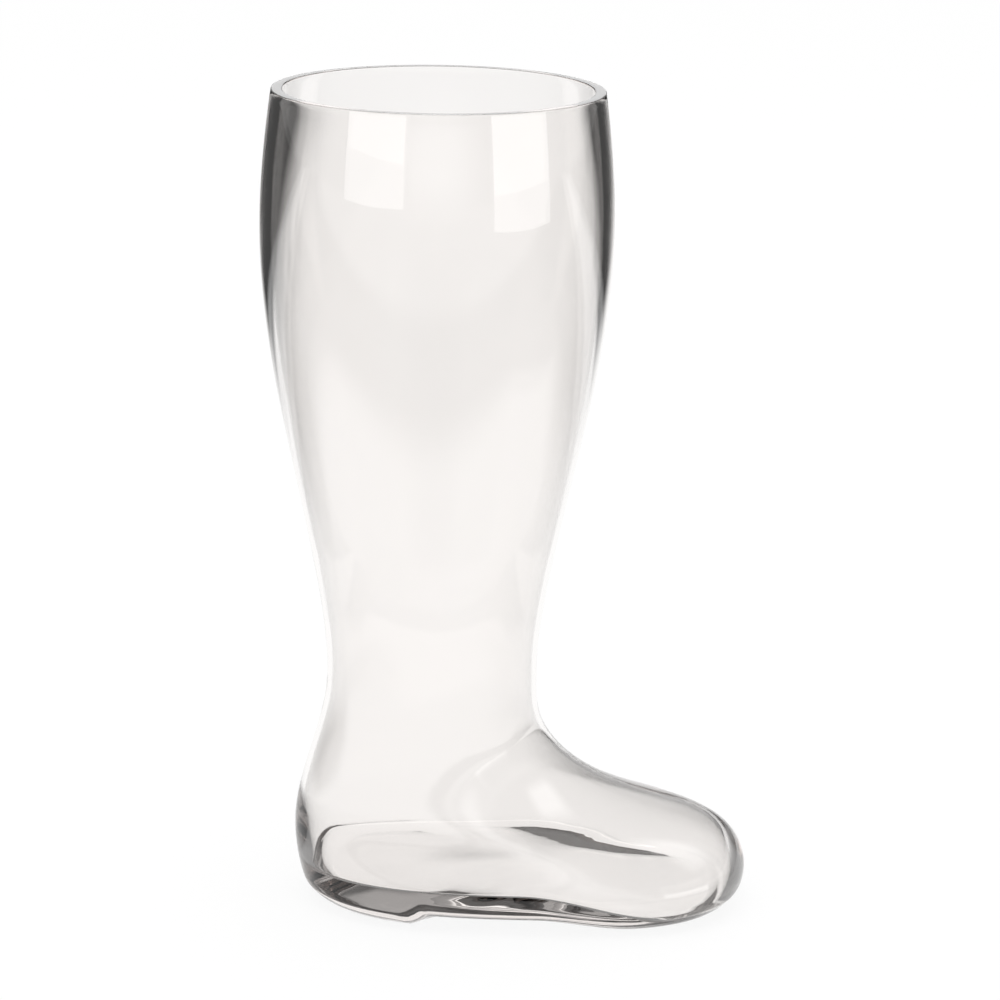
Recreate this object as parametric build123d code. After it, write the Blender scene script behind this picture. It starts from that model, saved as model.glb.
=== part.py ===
from build123d import *
import math
import os

import numpy as np

# A boot-shaped beer glass, in millimetres: +Z up, the toe towards +X, the table at z = 0.
# Radii and reaches are measured from the axis of the leg, heights from the table.

# The leg, from the cut rim down to the ankle
boot_height = 300.0
rim_radius = 59.0
rim_flare = 0.14
calf_radius = 63.0
calf_height = 248.0
below_calf_radius = 57.9
below_calf_height = 198.0
above_ankle_radius = 42.4
above_ankle_height = 122.0
ankle_radius = 38.4
ankle_height = 86.0

# The shoe's outline seen from the side
throat_reach = 40.5
throat_height = 68.0
instep_reach = 50.9
instep_height = 54.0
vamp_reach = 67.2
vamp_height = 44.0
forefoot_reach = 92.0
forefoot_height = 36.0
toe_cap_reach = 110.0
toe_cap_height = 28.0
toe_reach = 117.0
toe_height = 12.0
tread_toe_reach = 112.9
heel_reach = 50.1
heel_height = 27.0
tread_heel_reach = 44.7
tread_lean = 0.35

# The shoe's outline seen from the front and from above
instep_half_width = 38.5
ball_half_width = 45.9
ball_height = 13.0
tread_half_width = 45.8
taper_height = 39.0
taper_bluntness = -0.2
toe_bluntness = 0.37
heel_bluntness = 0.22

# The glass: an even wall over a thick base, whose floor drops from the heel to the ball
wall = 4.0
heel_floor = 13.6
ball_floor = 5.0
floor_drop_start = 34.0
floor_drop_end = 90.0
floor_corner_radius = 2.5
base_edge_radius = 9.5
lip_radius = 1.4

# The hollow under the waist of the sole, between the heel and the ball
heel_breast = -10.0
breast_slope = 10.0
arch_rise = 4.2
arch_end = 84.0

# Where one zone of the glass passes into the next
rim_band = 6.0
sole_kerb = 3.0

# The box round the boot is centred on the origin, so the leg stands behind it
leg_axis = (calf_radius - toe_reach) / 2

# How finely the shoe is drawn
shoe_levels = 18
oval_points = 16


def guide(points, start_lean, end_lean):
    """A smooth curve in the XZ plane through (reach, height) points, from the top down."""
    return Spline(
        *[(reach, 0, height) for reach, height in points],
        tangents=[(start_lean, 0, -1), (end_lean, 0, -1)],
    )


def position(curve, share):
    return curve.position_at(share, position_mode=PositionMode.PARAMETER)


def reach_at(curve, height):
    """How far from the axis a guide lies at a height, found by halving."""
    above, below = 0.0, 1.0
    for _ in range(40):
        middle = (above + below) / 2
        if position(curve, middle).Z > height:
            above = middle
        else:
            below = middle
    return position(curve, above).X


def inset(curve, depth, count=24):
    """The guide moved inwards, square to itself, with its ends kept at their heights."""
    points = []
    for share in np.linspace(0, 1, count):
        start = position(curve, share)
        along = curve.tangent_at(share, position_mode=PositionMode.PARAMETER)
        point = start + Vector(along.Z, 0, -along.X) * depth
        if share in (0, 1):
            point += along * ((start.Z - point.Z) / along.Z)
        points.append(point)
    return Spline(*points)


def ease(low, high, height):
    """A smooth step from 0 at the low height to 1 at the high one."""
    share = min(max((height - low) / (high - low), 0), 1)
    return share**2 * (3 - 2 * share)


def oval(toe, heel, half_width, height):
    """A level outline of the shoe, blunt at both ends near the sole and narrow at the instep."""
    to_taper = ease(ball_height, taper_height, height)
    to_ankle = ease(taper_height, ankle_height, height)
    blunt_toe = toe_bluntness * (1 - to_taper) + taper_bluntness * (to_taper - to_ankle)
    blunt_heel = heel_bluntness * (1 - ease(ball_height, ankle_height, height))
    points = []
    for turn in np.linspace(0, 2 * math.pi, oval_points, endpoint=False):
        ahead = math.cos(turn)
        blunt = (blunt_toe + blunt_heel) / 2 + (blunt_toe - blunt_heel) / 2 * ahead
        x = (toe - heel) / 2 + (toe + heel) / 2 * ahead
        y = half_width * math.sin(turn) * (1 + blunt * ahead**2)
        points.append((x, y, height))
    knots = list(np.linspace(0, 1, oval_points + 1))
    return Wire([Edge.make_spline(points, periodic=True, parameters=knots)])


def shoe_form(front, back, side, floor):
    """The closed form of the shoe between a floor height and the ankle."""
    ovals = []
    for height in np.linspace(ankle_height, floor, shoe_levels):
        toe, heel, half_width = [reach_at(curve, height) for curve in (front, back, side)]
        ovals.append(oval(toe, heel, half_width, height))
    return Solid.make_loft(ovals)


def slab(outline):
    """A flat outline in the XZ plane carried right across the shoe."""
    reach = ball_half_width + wall
    return Pos(0, -reach, 0) * extrude(make_face(outline), amount=2 * reach, dir=(0, 1, 0))


# Leg: a turned wall between two guides, with a cut and polished lip
leg_outside = guide(
    [
        (rim_radius, boot_height),
        (calf_radius, calf_height),
        (below_calf_radius, below_calf_height),
        (above_ankle_radius, above_ankle_height),
        (ankle_radius, ankle_height),
    ],
    rim_flare,
    0,
)
leg_inside = inset(leg_outside, wall)
leg_section = make_face(
    leg_outside
    + Line(leg_outside @ 1, leg_inside @ 1)
    + leg_inside
    + Line(leg_inside @ 0, leg_outside @ 0)
)
lip_corners = leg_section.vertices().group_by(Axis.Z)[-1]
leg = revolve(fillet(lip_corners, lip_radius), Axis.Z)

# Shoe: three guides leave the leg upright at the ankle and end at the table
ankle_point = (ankle_radius, ankle_height)
front_guide = guide(
    [
        ankle_point,
        (throat_reach, throat_height),
        (instep_reach, instep_height),
        (vamp_reach, vamp_height),
        (forefoot_reach, forefoot_height),
        (toe_cap_reach, toe_cap_height),
        (toe_reach, toe_height),
        (tread_toe_reach, 0),
    ],
    0,
    -tread_lean,
)
back_guide = guide(
    [ankle_point, (heel_reach, heel_height), (tread_heel_reach, 0)],
    0,
    -tread_lean,
)
side_guide = guide(
    [
        ankle_point,
        (instep_half_width, instep_height),
        (ball_half_width, ball_height),
        (tread_half_width, 0),
    ],
    0,
    -tread_lean,
)
shoe_guides = [front_guide, back_guide, side_guide]
shoe_block = shoe_form(*shoe_guides, 0)
tread = shoe_block.faces().sort_by(Axis.Z)[0]
shoe_block = fillet(tread.edges(), base_edge_radius)

# Waist: the hollow under the sole, from the slanted front of the heel to the ball
breast_top = (heel_breast + breast_slope, 0, arch_rise)
arch_fall = 2 * arch_rise / (arch_end - heel_breast - breast_slope)
arch_outline = Polyline(
    (arch_end, 0, 0),
    (arch_end, 0, -wall),
    (heel_breast, 0, -wall),
    (heel_breast, 0, 0),
    breast_top,
) + Spline(breast_top, (arch_end, 0, 0), tangents=[(1, 0, 0), (1, 0, -arch_fall)])
shoe_block -= slab(arch_outline)

# Inside: the wall all round, over a floor that drops from the heel to the ball
cavity = shoe_form(*[inset(curve, wall) for curve in shoe_guides], ball_floor)
drop_top = (floor_drop_start, 0, heel_floor)
drop_foot = (floor_drop_end, 0, ball_floor)
floor_outline = Polyline(
    drop_foot,
    (floor_drop_end, 0, 0),
    (-heel_reach, 0, 0),
    (-heel_reach, 0, heel_floor),
    drop_top,
) + Spline(drop_top, drop_foot, tangents=[(1, 0, 0), (1, 0, 0)])
cavity -= slab(floor_outline)
side_wall = cavity.faces().sort_by(SortBy.AREA)[-1]
floor_top = heel_floor + floor_corner_radius / 2
floor_corner = side_wall.edges().filter_by(lambda edge: edge.bounding_box().max.Z < floor_top)
cavity = fillet(floor_corner, floor_corner_radius)
shoe = shoe_block - cavity

# Zones: the one glass is named from the top down where its form and thickness change
rim_plane = Plane.XY.offset(boot_height - rim_band)
sole_plane = Plane.XY.offset(heel_floor + sole_kerb)
breast_plane = Plane.YZ.offset(heel_breast)
rim = split(leg, rim_plane, keep=Keep.TOP)
shaft = split(leg, rim_plane, keep=Keep.BOTTOM)
foot = split(shoe, sole_plane, keep=Keep.TOP)
base = split(shoe, sole_plane, keep=Keep.BOTTOM)
sole = split(base, breast_plane, keep=Keep.TOP)
heel = split(base, breast_plane, keep=Keep.BOTTOM)

# What the boot holds when it is full to the rim, in litres
leg_hollow = revolve(
    make_face(
        leg_inside
        + Polyline(leg_inside @ 1, (0, 0, ankle_height), (0, 0, boot_height), leg_inside @ 0)
    ),
    Axis.Z,
)
print("brimful litres", round((leg_hollow.volume + cavity.volume) / 1e6, 3))

os.makedirs("parts", exist_ok=True)
zones = {"rim": rim, "shaft": shaft, "foot": foot, "sole": sole, "heel": heel}
for name, zone in zones.items():
    export_step(Pos(leg_axis, 0, 0) * zone, f"parts/{name}.step")
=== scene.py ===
import math

import bmesh
import bpy
import numpy as np
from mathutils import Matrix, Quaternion, Vector


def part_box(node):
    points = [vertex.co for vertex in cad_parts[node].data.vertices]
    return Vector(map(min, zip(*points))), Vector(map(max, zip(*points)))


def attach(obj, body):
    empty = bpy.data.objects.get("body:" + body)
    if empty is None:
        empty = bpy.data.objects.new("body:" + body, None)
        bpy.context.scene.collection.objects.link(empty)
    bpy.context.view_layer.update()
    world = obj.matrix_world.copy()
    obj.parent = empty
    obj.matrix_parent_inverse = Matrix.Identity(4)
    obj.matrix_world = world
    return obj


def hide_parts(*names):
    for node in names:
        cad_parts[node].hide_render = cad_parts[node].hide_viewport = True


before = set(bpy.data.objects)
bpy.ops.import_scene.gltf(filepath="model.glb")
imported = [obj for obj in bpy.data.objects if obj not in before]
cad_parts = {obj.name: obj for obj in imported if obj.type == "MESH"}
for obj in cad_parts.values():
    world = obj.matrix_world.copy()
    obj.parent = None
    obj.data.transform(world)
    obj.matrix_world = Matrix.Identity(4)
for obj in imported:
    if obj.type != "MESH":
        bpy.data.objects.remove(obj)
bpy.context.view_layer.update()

# Boot glass: one hollow blown piece of clear soda-lime glass in the shape of a boot.
# A round leg, open at a cut and polished rim, runs down into a shoe on a thick solid sole and heel.
# The skin is drawn ring by ring: from under the sole up the outside, over the rim and down inside.
shaft_low, shaft_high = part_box("shaft")
leg_axis = (shaft_low.x + shaft_high.x) / 2
calf_radius = (shaft_high.x - shaft_low.x) / 2
rim_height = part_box("rim")[1].z
ankle_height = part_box("foot")[1].z
toe_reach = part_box("sole")[1].x - leg_axis
ankle_point = (0.0384, ankle_height)
wall = 0.004
blown_wall = 0.0020
base_fade = (0.016, 0.042)
calf_fade = (0.13, 0.25)
ring_points = 176
ring_step = 0.0022
span_samples = 400


def template(points, start_lean, end_lean):
    """Even points down one smooth curve through (reach, height) points, like the edge of a mould."""
    points = np.array(points)
    spans = np.linalg.norm(np.diff(points, axis=0), axis=1)
    chords = np.diff(points, axis=0) / spans[:, None]
    weights = np.eye(len(points))
    leans = np.zeros_like(points)
    leans[0] = Vector((start_lean, -1)).normalized()
    leans[-1] = Vector((end_lean, -1)).normalized()
    for i in range(1, len(points) - 1):
        before, after = spans[i - 1], spans[i]
        weights[i, i - 1:i + 2] = after, 2 * (before + after), before
        leans[i] = 3 * (before * chords[i] + after * chords[i - 1])
    leans = np.linalg.solve(weights, leans)
    line = [points[:1]]
    for i, span in enumerate(spans):
        t = np.linspace(0, 1, span_samples)[1:, None]
        line.append(
            points[i] * (1 + 2 * t) * (1 - t)**2 + leans[i] * span * t * (1 - t)**2
            + points[i + 1] * t**2 * (3 - 2 * t) + leans[i + 1] * span * t**2 * (t - 1)
        )
    line = np.concatenate(line)
    run = np.concatenate([[0], np.cumsum(np.linalg.norm(np.diff(line, axis=0), axis=1))])
    steps = np.linspace(0, run[-1], int(run[-1] / ring_step) + 1)
    return np.stack([np.interp(steps, run, line[:, k]) for k in (0, 1)], axis=1)


def reach_at(line, height):
    return np.interp(height, line[::-1, 1], line[::-1, 0])


def ease(low, high, value):
    """A smooth step from 0 at the low value to 1 at the high one."""
    share = np.clip((value - low) / (high - low), 0, 1)
    return share**2 * (3 - 2 * share)


def inside(line):
    """The template moved inwards by the wall, square to itself, thinner between the base and the calf."""
    along = np.gradient(line, axis=0)
    along /= np.linalg.norm(along, axis=1)[:, None]
    blown = ease(*base_fade, line[:, 1]) * (1 - ease(*calf_fade, line[:, 1]))
    depth = wall - (wall - blown_wall) * blown
    return line + depth[:, None] * np.stack([along[:, 1], -along[:, 0]], axis=1)


rim_flare = 0.14
tread_lean = 0.35
leg_line = template(
    [(0.059, rim_height), (calf_radius, 0.248), (0.0579, 0.198), (0.0424, 0.122), ankle_point],
    rim_flare,
    0,
)
front_line = template(
    [
        ankle_point,
        (0.0405, 0.068),
        (0.0509, 0.054),
        (0.0672, 0.044),
        (0.0920, 0.036),
        (0.1100, 0.028),
        (toe_reach, 0.012),
        (0.1129, 0),
    ],
    0,
    -tread_lean,
)
back_line = template([ankle_point, (0.0501, 0.027), (0.0447, 0)], 0, -tread_lean)
side_line = template([ankle_point, (0.0385, 0.054), (0.0459, 0.013), (0.0458, 0)], 0, -tread_lean)
shoe_outside = [front_line, back_line, side_line]
shoe_inside = [inside(line) for line in shoe_outside]

turns = np.linspace(0, 2 * math.pi, ring_points, endpoint=False)
ahead = np.cos(turns)
across = np.sin(turns)
ball_height = 0.013
taper_height = 0.039
toe_bluntness = 0.37
taper_bluntness = -0.2
heel_bluntness = 0.22


def leg_ring(radius, height):
    return np.stack([radius * ahead, radius * across, np.full(ring_points, height)], axis=1)


def shoe_ring(lines, height, shrink=0.0):
    """The shoe's outline at a height, blunt at both ends near the sole and narrow at the instep."""
    toe, heel, half_width = [reach_at(line, height) - shrink for line in lines]
    to_taper = ease(ball_height, taper_height, height)
    to_ankle = ease(taper_height, ankle_height, height)
    blunt_toe = toe_bluntness * (1 - to_taper) + taper_bluntness * (to_taper - to_ankle)
    blunt_heel = heel_bluntness * (1 - ease(ball_height, ankle_height, height))
    blunt = (blunt_toe + blunt_heel) / 2 + (blunt_toe - blunt_heel) / 2 * ahead
    x = (toe - heel) / 2 + (toe + heel) / 2 * ahead
    y = half_width * across * (1 + blunt * ahead**2)
    return np.stack([x, y, np.broadcast_to(height, x.shape)], axis=1)


def shoe_rings(lines, low):
    """Outlines from a height that differs round the shoe, up to the ankle."""
    levels = front_line[::-1, 1] / ankle_height
    return [shoe_ring(lines, low + (ankle_height - low) * share) for share in levels if share > 0]


edge_fade = 12


def close_up(ring, height_at, count=48):
    """Rings that close an outline towards its middle, at the height that belongs to each place."""
    middle = np.array([(ring[:, 0].max() + ring[:, 0].min()) / 2, 0, 0])
    step_up = ring[:, 2] - height_at(ring[:, 0], ring[:, 1])
    rings = []
    for share in np.linspace(1, 0, count, endpoint=False)[1:]:
        inner = middle + (ring - middle) * share
        inner[:, 2] = height_at(inner[:, 0], inner[:, 1]) + step_up * share**edge_fade
        rings.append(inner)
    return rings


heel_breast = -0.011
breast_slope = 0.010
breast_fade = 0.036
breast_bluntness = 8
arch_rise = 0.0040
arch_full = 0.040
arch_end = 0.083
tread_half_width = 0.041
vault_rise = 0.0027
vault_half_width = 0.040
vault_bluntness = 4
vault_start = (0.022, 0.056)
vault_end = (0.062, 0.096)
dimple_rise = 0.00055
dimple_reach = (0.017, 0.009)
dimple_spot = (0.017, -0.003)
heel_floor = 0.0136
ball_floor = 0.005
floor_drop = (0.034, 0.090)
settling_rounds = 8


def tread_height(x, y):
    """The sole stands on the heel and the ball, and is hollow under the waist between them."""
    middle = np.clip(1 - (y / tread_half_width)**breast_bluntness, 0, 1)
    breast = ease(heel_breast, heel_breast + breast_slope + breast_fade * middle, x)
    arch = arch_rise * breast * (1 - ease(arch_full, arch_end, x))
    vault = np.clip(1 - (y / vault_half_width)**vault_bluntness, 0, 1)
    vault *= ease(*vault_start, x) * (1 - ease(*vault_end, x))
    away = np.hypot((x - dimple_spot[0]) / dimple_reach[0], (y - dimple_spot[1]) / dimple_reach[1])
    return arch + vault_rise * vault + dimple_rise * np.exp(-away**2)


def floor_height(x, y):
    """The floor inside is level over the heel and the waist and drops to the ball."""
    return heel_floor - (heel_floor - ball_floor) * ease(*floor_drop, x)


def edge_height(lines, height_at, radius):
    """How high the sole or the floor lies at the foot of the wall, all round."""
    height = np.zeros(ring_points)
    for _ in range(settling_rounds):
        x, y, _ = shoe_ring(lines, height + radius).T
        height = height_at(x, y)
    return height


# Outside of the boot, with the faint seam of the mould's base plate round its lower edge
tread_radius = 0.0095
tread_steps = 25
seam_height = 0.0065
seam_width = 0.0011
seam_rise = 0.00015
tread = edge_height(shoe_outside, tread_height, tread_radius)
tread_rings = []
for turn in np.linspace(0, math.pi / 2, tread_steps):
    up = tread_radius * (1 - math.cos(turn))
    seam = seam_rise * math.exp(-((up - seam_height) / seam_width)**2)
    tread_rings.append(shoe_ring(shoe_outside, tread + up, tread_radius * (1 - math.sin(turn)) - seam))
rings = close_up(tread_rings[0], tread_height)[::-1] + tread_rings
rings += shoe_rings(shoe_outside, tread + tread_radius)

# Lip of the leg, cut flat and polished round at both edges
lip_radius = 0.0004
corner_steps = 9
corner_turns = np.linspace(0, math.pi / 2, corner_steps)
rim_radius = leg_line[0, 0]
leg_steps = leg_line[(leg_line[:, 1] > ankle_height) & (leg_line[:, 1] < rim_height - lip_radius)]
rings += [leg_ring(*step) for step in leg_steps[::-1]]
for turn in corner_turns:
    shrink = lip_radius * (1 - math.cos(turn))
    rings.append(leg_ring(rim_radius - shrink, rim_height - lip_radius * (1 - math.sin(turn))))
for turn in corner_turns[::-1]:
    shrink = lip_radius * (1 - math.cos(turn))
    rings.append(leg_ring(rim_radius - wall + shrink, rim_height - lip_radius * (1 - math.sin(turn))))

# Inside of the leg and of the shoe, down to the rounded corner of the floor
floor_corner = 0.0018
leg_bore = inside(leg_line)
leg_steps = leg_bore[(leg_bore[:, 1] > ankle_height) & (leg_bore[:, 1] < rim_height - lip_radius)]
rings += [leg_ring(*step) for step in leg_steps[1:]]
floor = edge_height(shoe_inside, floor_height, floor_corner)
rings += shoe_rings(shoe_inside, floor + floor_corner)[::-1]
for turn in corner_turns:
    shrink = floor_corner * (1 - math.cos(turn))
    rings.append(shoe_ring(shoe_inside, floor + floor_corner * (1 - math.sin(turn)), shrink))
rings += close_up(rings[-1], floor_height)

# Skin: a small disc is moved to the first ring and its open edge is drawn out from ring to ring
skin = bmesh.new()
place = skin.verts.layers.int.new("place")
bmesh.ops.create_circle(skin, cap_ends=True, cap_tris=True, segments=ring_points, radius=0.001)
open_edges = [edge for edge in skin.edges if edge.is_boundary]
for vert in skin.verts:
    if vert.is_boundary:
        vert[place] = round(math.atan2(vert.co.y, vert.co.x) / (2 * math.pi) * ring_points) % ring_points
        vert.co = rings[0][vert[place]]
    else:
        vert.co = rings[0].mean(axis=0)
for ring in rings[1:]:
    grown = bmesh.ops.extrude_edge_only(skin, edges=open_edges)["geom"]
    new_verts = {item for item in grown if isinstance(item, bmesh.types.BMVert)}
    for vert in new_verts:
        vert.co = ring[vert[place]]
    open_edges = [
        item for item in grown
        if isinstance(item, bmesh.types.BMEdge) and new_verts.issuperset(item.verts)
    ]
bmesh.ops.extrude_edge_only(skin, edges=open_edges)
last_verts = [vert for vert in skin.verts if vert.is_boundary]
bmesh.ops.pointmerge(skin, verts=last_verts, merge_co=rings[-1].mean(axis=0))
skin.verts.layers.int.remove(place)
bmesh.ops.translate(skin, verts=skin.verts, vec=(leg_axis, 0, 0))
bmesh.ops.recalc_face_normals(skin, faces=skin.faces)
for face in skin.faces:
    face.smooth = True
boot = bpy.data.objects.new("boot_glass", bpy.data.meshes.new("boot_glass"))
skin.to_mesh(boot.data)
skin.free()
bpy.context.scene.collection.objects.link(boot)

# Clear glass, faintly warm, with drawn ripples and a film that dulls its polish here and there
glass = bpy.data.materials.new("clear_glass")
glass.use_nodes = True
nodes, links = glass.node_tree.nodes, glass.node_tree.links
shader = nodes["Principled BSDF"]
coords = nodes.new("ShaderNodeTexCoord")
stretch = nodes.new("ShaderNodeMapping")
stretch.inputs["Scale"].default_value = (1, 1, 0.4)
links.new(coords.outputs["Object"], stretch.inputs["Vector"])
streaks = nodes.new("ShaderNodeTexNoise")
streaks.inputs["Scale"].default_value = 38
streaks.inputs["Detail"].default_value = 2
streaks.inputs["Distortion"].default_value = 0.6
links.new(stretch.outputs["Vector"], streaks.inputs["Vector"])
ripple = nodes.new("ShaderNodeBump")
ripple.inputs["Strength"].default_value = 0.10
ripple.inputs["Distance"].default_value = 0.0006
links.new(streaks.outputs["Fac"], ripple.inputs["Height"])
links.new(ripple.outputs["Normal"], shader.inputs["Normal"])
colour = nodes.new("ShaderNodeMix")
colour.data_type = "RGBA"
pale_socket, warm_socket, mixed_socket = colour.inputs[6], colour.inputs[7], colour.outputs[2]
pale_socket.default_value = (1.0, 0.987, 0.976, 1)
warm_socket.default_value = (1.0, 0.983, 0.970, 1)
links.new(streaks.outputs["Fac"], colour.inputs["Factor"])
links.new(mixed_socket, shader.inputs["Base Color"])
film = nodes.new("ShaderNodeTexNoise")
film.inputs["Scale"].default_value = 140
film.inputs["Detail"].default_value = 4
links.new(coords.outputs["Object"], film.inputs["Vector"])
polish = nodes.new("ShaderNodeMapRange")
polish.inputs["From Min"].default_value = 0.45
polish.inputs["From Max"].default_value = 0.75
polish.inputs["To Max"].default_value = 0.012
links.new(film.outputs["Fac"], polish.inputs["Value"])
links.new(polish.outputs["Result"], shader.inputs["Roughness"])
shader.inputs["IOR"].default_value = 1.5
shader.inputs["Transmission Weight"].default_value = 1.0
tint = nodes.new("ShaderNodeVolumeAbsorption")
tint.inputs["Color"].default_value = (0.966, 0.957, 0.953, 1)
tint.inputs["Density"].default_value = 60
links.new(tint.outputs["Volume"], nodes["Material Output"].inputs["Volume"])
boot.data.materials.append(glass)
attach(boot, "root")
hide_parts("rim", "shaft", "foot", "sole", "heel")

# Table: a plain white top, which the camera and the near wall of the glass see as plain white.
# In reflections it shows painted light: a glowing pool round the glass, a strip and a band behind it and a
# stretch in front, and is painted dark elsewhere. Straight through both walls that painted pattern shows
# too, with wide white ways left in it.
fade_in = (0.0, 1.0)
fade_out = (1.0, 0.0)


def stage_object(name, form):
    staged = bpy.data.objects.new(name, bpy.data.meshes.new(name))
    form.to_mesh(staged.data)
    form.free()
    bpy.context.scene.collection.objects.link(staged)
    return staged


def blank_material(staged, name):
    """The empty node tree of a new material on a stage object."""
    material = bpy.data.materials.new(name)
    material.use_nodes = True
    material.node_tree.nodes.clear()
    staged.data.materials.append(material)
    return material.node_tree


def feed(socket, value):
    """Sets a socket to a number, or links it to what another node puts out."""
    if isinstance(value, float):
        socket.default_value = value
    else:
        socket.id_data.links.new(value, socket)


def join(operation, result, *others):
    """Values joined one after the other by steps of arithmetic."""
    for other in others:
        tree = next(value.id_data for value in (result, other) if not isinstance(value, float))
        step = tree.nodes.new("ShaderNodeMath")
        step.operation = operation
        feed(step.inputs[0], result)
        feed(step.inputs[1], other)
        result = step.outputs[0]
    return result


def smooth_step(value, places, levels):
    """A value that passes smoothly from one level to another between two places."""
    step = value.id_data.nodes.new("ShaderNodeMapRange")
    step.interpolation_type = "SMOOTHSTEP"
    ends = ("From Min", "From Max", "To Min", "To Max")
    for name, number in zip(ends, (*places, *levels)):
        step.inputs[name].default_value = number
    feed(step.inputs["Value"], value)
    return step.outputs["Result"]


def choose(mask, when_not, when_so):
    """One value where a mask is 0 and another where it is 1."""
    step = mask.id_data.nodes.new("ShaderNodeMix")
    step.data_type = "FLOAT"
    for name, value in zip(("Factor", "A", "B"), (mask, when_not, when_so)):
        feed(step.inputs[name], value)
    return step.outputs["Result"]


def oval_distance(coords, middle, reach):
    """How far out a place on the table lies, as a multiple of an oval's reach."""
    nodes = coords.id_data.nodes
    oval = nodes.new("ShaderNodeMapping")
    oval.vector_type = "TEXTURE"
    oval.inputs["Location"].default_value = (*middle, 0)
    oval.inputs["Scale"].default_value = (*reach, 1)
    feed(oval.inputs["Vector"], coords.outputs["Object"])
    distance = nodes.new("ShaderNodeVectorMath")
    distance.operation = "LENGTH"
    feed(distance.inputs[0], oval.outputs["Vector"])
    return distance.outputs["Value"]


def in_reflection(tree):
    """1 for a ray that has been reflected on its way, 0 for one that comes straight through."""
    path = tree.nodes.new("ShaderNodeLightPath")
    return join("GREATER_THAN", path.outputs["Glossy Depth"], 0.5)


def glow_where(tree, mask, strength, otherwise):
    """Ends a material that shines where a mask is 1 and shows another shader where it is 0."""
    glow = tree.nodes.new("ShaderNodeEmission")
    feed(glow.inputs["Strength"], strength)
    mix = tree.nodes.new("ShaderNodeMixShader")
    for socket, value in zip(mix.inputs, (mask, otherwise.outputs[0], glow.outputs[0])):
        feed(socket, value)
    output = tree.nodes.new("ShaderNodeOutputMaterial")
    feed(output.inputs["Surface"], mix.outputs[0])


table_half_width = 8
table_drop = 0.0003
sheet = bmesh.new()
bmesh.ops.create_grid(sheet, x_segments=1, y_segments=1, size=table_half_width)
bmesh.ops.translate(sheet, verts=sheet.verts, vec=(0, 0, -table_drop))
table = stage_object("table", sheet)
tree = blank_material(table, "white_table")
paint = tree.nodes.new("ShaderNodeBsdfDiffuse")
paint.inputs["Color"].default_value = (0.9, 0.9, 0.9, 1)
coords = tree.nodes.new("ShaderNodeTexCoord")
sides = tree.nodes.new("ShaderNodeSeparateXYZ")
feed(sides.inputs["Vector"], coords.outputs["Object"])
back = sides.outputs["Y"]
beside = join("ABSOLUTE", sides.outputs["X"], 0.0)
path = tree.nodes.new("ShaderNodeLightPath")
faces_crossed = path.outputs["Transmission Depth"]
reflected = in_reflection(tree)
through_both_walls = join("GREATER_THAN", faces_crossed, 3.5)

# The places of painted light, in metres from the middle of the boot
pool_middle, pool_reach = (0, -0.10), (0.46, 0.18)
pool_edge, pool_levels = (1.0, 1.45), (1.0, 0.06)
strip_start, strip_side = (-0.05, 0.10), (0.24, 0.56)
band_start, band_end = (0.28, 0.35), (0.66, 0.80)
front_end, front_levels = (-0.80, -0.55), (0.55, 0.0)
painted_pool = smooth_step(oval_distance(coords, pool_middle, pool_reach), pool_edge, pool_levels)
strip = join("MULTIPLY", smooth_step(beside, strip_side, fade_out), smooth_step(back, strip_start, fade_in))
band = join("MULTIPLY", smooth_step(back, band_start, fade_in), smooth_step(back, band_end, fade_out))
front = smooth_step(back, front_end, front_levels)
painted_light = join("MAXIMUM", painted_pool, strip, band, front)

# In reflections a shadow is painted on the ground under the boot, except in the outermost face of the glass,
# and all of it is painted dimmer through both walls
foot_middle, foot_reach = (0, 0), (0.085, 0.046)
foot_edge, foot_shadow_levels = (1.2, 4.0), (0.25, 1.0)
far_level = 0.50
outer_face = join("LESS_THAN", faces_crossed, 0.5)
foot = smooth_step(oval_distance(coords, foot_middle, foot_reach), foot_edge, foot_shadow_levels)
dimmed = choose(through_both_walls, 1.0, far_level)
shaded = join("MULTIPLY", painted_light, join("MAXIMUM", foot, outer_face), dimmed)

# The ways painted white straight through both walls: nearer than the boot, along it and slantwise behind it
near_end = (-0.22, -0.12)
lengthwise_edge = (0.10, 0.15)
slant_start, slant_end = (0.62, 0.72), (0.95, 1.05)
nearer = smooth_step(back, near_end, fade_out)
lengthwise = smooth_step(join("ABSOLUTE", back, 0.0), lengthwise_edge, fade_out)
bearing = join("ARCTAN2", beside, back)
slantwise = join(
    "MULTIPLY", smooth_step(bearing, slant_start, fade_in), smooth_step(bearing, slant_end, fade_out)
)
clear_way = join("MAXIMUM", painted_light, nearer, lengthwise, slantwise)
straight = choose(through_both_walls, 1.0, clear_way)
level = choose(reflected, straight, shaded)

# What is left of the table's own paint keeps the shadow of the glass
camera_share = 0.9
glass_share = 0.97
to_camera = join("MULTIPLY", path.outputs["Is Camera Ray"], camera_share)
to_glass = join("MULTIPLY", path.outputs["Is Transmission Ray"], glass_share)
glow_where(tree, join("MAXIMUM", to_camera, to_glass, reflected), level, paint)

# Studio: the grey room round the table, with a brighter backdrop behind the glass and a dark ceiling.
# It shows only as reflections in the glass, as painted glow. Places in it are given as parts of a direction
# of length 1.
room_radius = 6
room_level = 0.35
backdrop_edge = (0.70, 0.90)
backdrop_level = 0.4
glow_low, glow_high, glow_side = (0.11, 0.165), (0.21, 0.28), (0.12, 0.22)
glow_levels = (0.0, 1.1)
floor_faces = 4.0
floor_glow = 0.45
ceiling_edge, ceiling_levels = (0.36, 0.46), (1.0, 0.3)


def only_in_glass(staged):
    """Hides a stage object from the camera and the table, and lets light pass through it."""
    staged.visible_camera = False
    staged.visible_diffuse = False
    staged.visible_shadow = False


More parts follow.
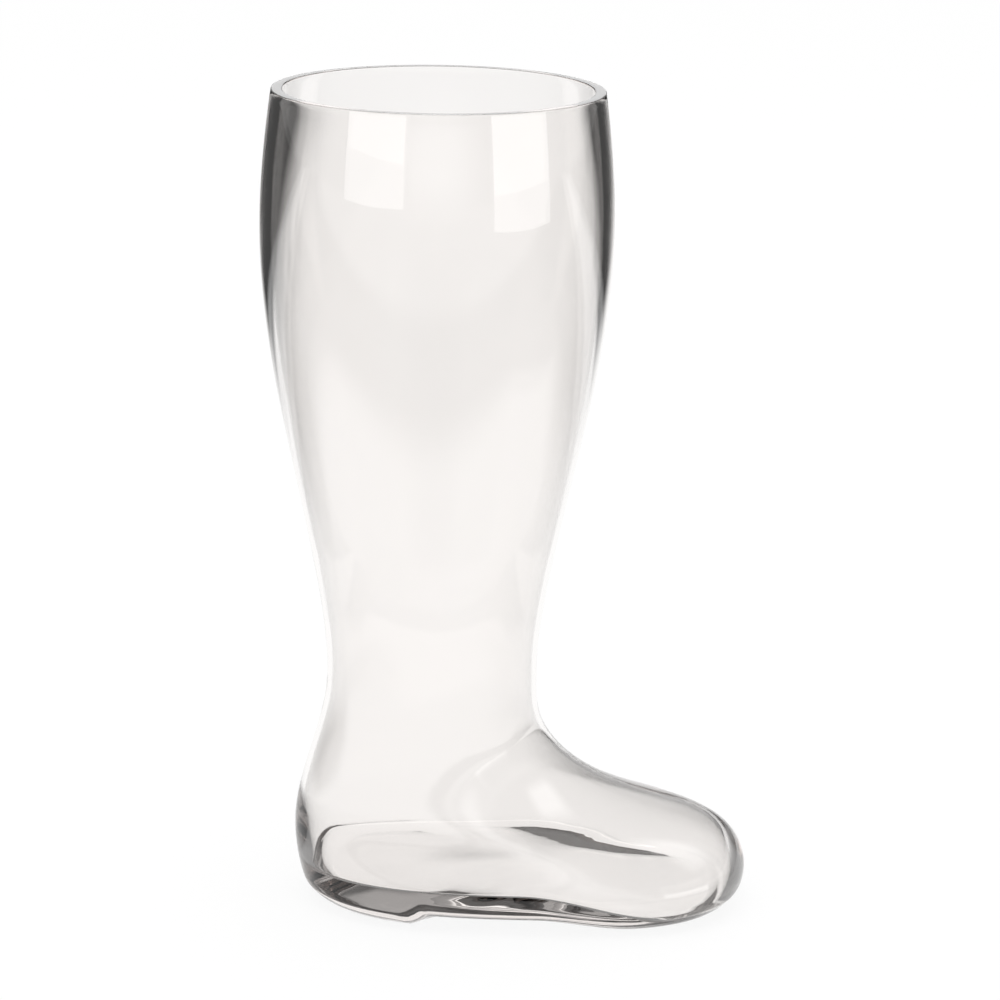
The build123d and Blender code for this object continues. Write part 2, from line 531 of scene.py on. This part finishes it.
form = bmesh.new()
bmesh.ops.create_uvsphere(form, u_segments=48, v_segments=24, radius=room_radius)
studio = stage_object("studio", form)
only_in_glass(studio)
tree = blank_material(studio, "grey_room")
coords = tree.nodes.new("ShaderNodeTexCoord")
facing = tree.nodes.new("ShaderNodeVectorMath")
facing.operation = "NORMALIZE"
feed(facing.inputs[0], coords.outputs["Object"])
sides = tree.nodes.new("ShaderNodeSeparateXYZ")
feed(sides.inputs["Vector"], facing.outputs["Vector"])
back, up = sides.outputs["Y"], sides.outputs["Z"]
beside = join("ABSOLUTE", sides.outputs["X"], 0.0)
backdrop = smooth_step(back, backdrop_edge, fade_in)
# A painted band of light low on the backdrop
patch = join(
    "MULTIPLY",
    smooth_step(up, glow_low, glow_levels),
    smooth_step(up, glow_high, fade_out),
    smooth_step(beside, glow_side, fade_out),
)
# For rays that have crossed four faces of the glass the backdrop is painted brighter
path = tree.nodes.new("ShaderNodeLightPath")
in_floor = join("COMPARE", path.outputs["Transmission Depth"], floor_faces)
level = join("ADD", patch, backdrop_level, join("MULTIPLY", in_floor, floor_glow))
level = join("MAXIMUM", join("MULTIPLY", backdrop, level), room_level)
level = join("MULTIPLY", level, smooth_step(up, ceiling_edge, ceiling_levels))
glow_where(tree, in_reflection(tree), level, tree.nodes.new("ShaderNodeBsdfTransparent"))

# Softboxes: white panels left and right of the camera, each over a dimmer skirt, one overhead to the right
# and a wide card behind the camera. They show in the outer face of the glass, and fainter in the faces
# behind it. A small dark flag hangs before the upper part of the right one.
left = (-0.60, -0.72)
right = (0.82, -0.53)
hard_edge = 0.02


def softbox(name, towards, distance, size, strength, fade=0.6, edge=hard_edge):
    """A panel that faces the glass from a direction, with a soft border as a share of its size."""
    sheet = bmesh.new()
    sheet.loops.layers.uv.new("UVMap")
    bmesh.ops.create_grid(sheet, x_segments=1, y_segments=1, size=0.5, calc_uvs=True)
    bmesh.ops.scale(sheet, verts=sheet.verts, vec=(*size, 1))
    towards = Vector(towards).normalized()
    turn = towards.to_track_quat("Z", "Y").to_matrix()
    bmesh.ops.rotate(sheet, verts=sheet.verts, matrix=turn)
    bmesh.ops.translate(sheet, verts=sheet.verts, vec=towards * distance)
    panel = stage_object(name, sheet)
    only_in_glass(panel)
    tree = blank_material(panel, name)
    coords = tree.nodes.new("ShaderNodeTexCoord")
    sides = tree.nodes.new("ShaderNodeSeparateXYZ")
    feed(sides.inputs["Vector"], coords.outputs["UV"])
    mask = in_reflection(tree)
    for side in ("X", "Y"):
        from_border = join("PINGPONG", sides.outputs[side], 0.5)
        mask = join("MULTIPLY", mask, smooth_step(from_border, (0.0, edge), fade_in))
    path = tree.nodes.new("ShaderNodeLightPath")
    level = join("MULTIPLY", join("POWER", fade, path.outputs["Transmission Depth"]), strength)
    glow_where(tree, mask, level, tree.nodes.new("ShaderNodeBsdfTransparent"))


softbox("left_softbox", (*left, 0.27), 1.62, size=(1.15, 0.24), strength=3.2)
softbox("left_skirt", (*left, 0.155), 1.6, size=(1.15, 0.17), strength=2.4)
softbox("right_softbox", (*right, 0.21), 1.62, size=(1.2, 0.36), strength=3.2)
softbox("right_skirt", (*right, 0.09), 1.6, size=(1.2, 0.16), strength=2.4)
softbox("right_flag", (*right, 0.36), 0.31, size=(0.42, 0.10), strength=0.15, fade=1.0, edge=0.3)
softbox("top_softbox", (0.67, -0.02, 0.74), 1.5, size=(0.9, 0.9), strength=2.2, edge=0.35)
softbox("front_card", (0, -1, 0.20), 1.9, size=(2.8, 0.7), strength=2.2, fade=0.3, edge=0.45)

# Light: a wide, weak lamp overhead, which throws the faint shadow at the foot of the glass.
# The glass doesn't show the lamp, and an even white world lights the rest.
lamp = bpy.data.lights.new("top_light", "AREA")
lamp.size = 2
lamp.energy = 20
top_light = bpy.data.objects.new("top_light", lamp)
top_light.location = (0, 0, 2.2)
top_light.visible_camera = False
top_light.visible_glossy = False
top_light.visible_transmission = False
bpy.context.scene.collection.objects.link(top_light)
world = bpy.context.scene.world or bpy.data.worlds.new("white_world")
bpy.context.scene.world = world
world.use_nodes = True
background = world.node_tree.nodes["Background"]
background.inputs["Color"].default_value = (1, 1, 1, 1)
background.inputs["Strength"].default_value = 1.0

# Camera: where the photograph was taken from, 1.2 m beside the boot and looking down on it a little.
# The glass has many faces in line, so a ray may turn and cross more of them than is usual.
camera = bpy.data.cameras.new("camera")
camera.lens = 126.8
camera.sensor_width = 36
eye = Vector((0.0159, -1.230, 0.4852))
aim = Vector((-0.0031, 0, 0.1510))
roll = math.radians(0.98)
stand = bpy.data.objects.new("camera", camera)
stand.location = eye
stand.rotation_mode = "QUATERNION"
stand.rotation_quaternion = (aim - eye).to_track_quat("-Z", "Y") @ Quaternion((0, 0, 1), roll)
bpy.context.scene.collection.objects.link(stand)
bpy.context.scene.camera = stand
bpy.context.scene.view_settings.view_transform = "Standard"
bpy.context.scene.cycles.max_bounces = 48
bpy.context.scene.cycles.glossy_bounces = 40
bpy.context.scene.cycles.transmission_bounces = 16
